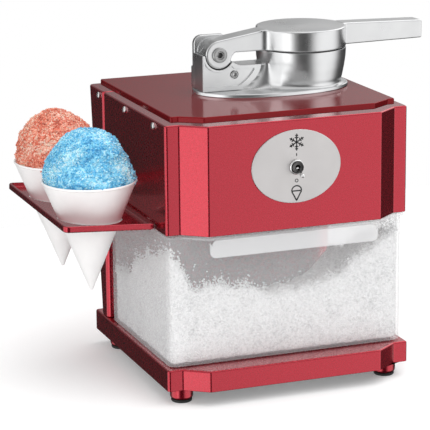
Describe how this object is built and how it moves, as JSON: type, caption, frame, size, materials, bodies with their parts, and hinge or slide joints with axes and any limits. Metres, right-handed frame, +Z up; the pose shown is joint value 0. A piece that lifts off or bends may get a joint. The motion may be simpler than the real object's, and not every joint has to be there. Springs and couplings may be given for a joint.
{
  "type": "shaved ice machine",
  "caption": "Countertop shaved ice machine: stepped body over a clear drawer bin, cast hopper with hinged lever lid, side holder for cones.",
  "frame": {"origin": "middle of the whole object's footprint box, on the table surface that the foot pads stand on", "axes": "+Z up; +X to the right as the user faces the front panel; -Y out of the front panel, towards the user"},
  "size_m": [0.409, 0.2728, 0.3426],
  "materials": {
    "red_paint": "glossy candy red metallic",
    "red_gloss_top": "mirror-gloss candy red",
    "red_cover": "satin candy red",
    "cast_silver": "satin silver casting",
    "bright_steel": "bright machined",
    "chrome": "polished",
    "badge_plate": "matt light grey",
    "clear_plastic": "clear moulded plastic",
    "white_plastic": "satin white",
    "cone_plastic": "satin white",
    "rubber": "matt black",
    "black_plastic": "satin black",
    "grey_metal": "plain grey"
  },
  "bodies": {
    "machine": {"badge": "badge_plate", "base_plate": "grey_metal", "base_tray": "red_paint", "bracket_screw": "bright_steel", "cone_holder": "red_paint", "cord_gland": "black_plastic", "cover_screw_bottom_left": "bright_steel", "cover_screw_bottom_right": "bright_steel", "cover_screw_top_left": "bright_steel", "cover_screw_top_right": "bright_steel", "discharge_chute": "white_plastic", "foot_front_left": "red_paint", "foot_front_right": "red_paint", "foot_pad_front_left": "rubber", "foot_pad_front_right": "rubber", "foot_pad_rear_left": "rubber", "foot_pad_rear_right": "rubber", "foot_rear_left": "red_paint", "foot_rear_right": "red_paint", "hinge_bracket": "cast_silver", "hinge_nut": "bright_steel", "hinge_pin": "bright_steel", "holder_screw_1": "bright_steel", "holder_screw_2": "bright_steel", "hopper": "cast_silver", "housing_floor": "white_plastic", "motor": "grey_metal", "motor_mount": "bright_steel", "rear_column": "red_paint", "rear_cover": "red_cover", "shaft_bearing": "bright_steel", "side_screw_left_1": "bright_steel", "side_screw_left_2": "bright_steel", "side_screw_left_3": "bright_steel", "side_screw_right_1": "bright_steel", "side_screw_right_2": "bright_steel", "side_screw_right_3": "bright_steel", "switch_body": "black_plastic", "toggle_bushing": "chrome", "toggle_nut": "chrome", "top_plate": "red_gloss_top", "upper_housing": "red_paint"},
    "lever": {"lever_lid": "cast_silver", "pusher_plate": "bright_steel"},
    "bin": {"ice_bin": "clear_plastic"},
    "switch_lever": {"toggle_lever": "chrome"},
    "cutter": {"blade_disc": "bright_steel", "blade_1": "bright_steel", "blade_2": "bright_steel", "disc_nut": "bright_steel", "drive_shaft": "bright_steel"},
    "front_cone": {"cone_front": "cone_plastic"},
    "rear_cone": {"cone_rear": "cone_plastic"}
  },
  "joints": [
    {"name": "lid_hinge", "type": "hinge", "parent": "machine", "child": "lever", "pos_m": [-0.01725, 0.00308, 0.32], "axis": [0, -1, 0], "range_deg": [0, 100]},
    {"name": "bin_slide", "type": "slide", "parent": "machine", "child": "bin", "axis": [0, -1, 0], "range_m": [0, 0.21]},
    {"name": "toggle", "type": "hinge", "parent": "machine", "child": "switch_lever", "pos_m": [0.01755, -0.11492, 0.2283], "axis": [-1, 0, 0], "range_deg": [0, 32]},
    {"name": "blade_spin", "type": "hinge", "parent": "machine", "child": "cutter", "pos_m": [0.01755, -0.01392, 0.26], "axis": [0, 0, 1], "continuous": true},
    {"name": "front_cone_lift", "type": "slide", "parent": "machine", "child": "front_cone", "axis": [0, 0, 1], "range_m": [0, 0.13]},
    {"name": "rear_cone_lift", "type": "slide", "parent": "machine", "child": "rear_cone", "axis": [0, 0, 1], "range_m": [0, 0.13]}
  ]
}
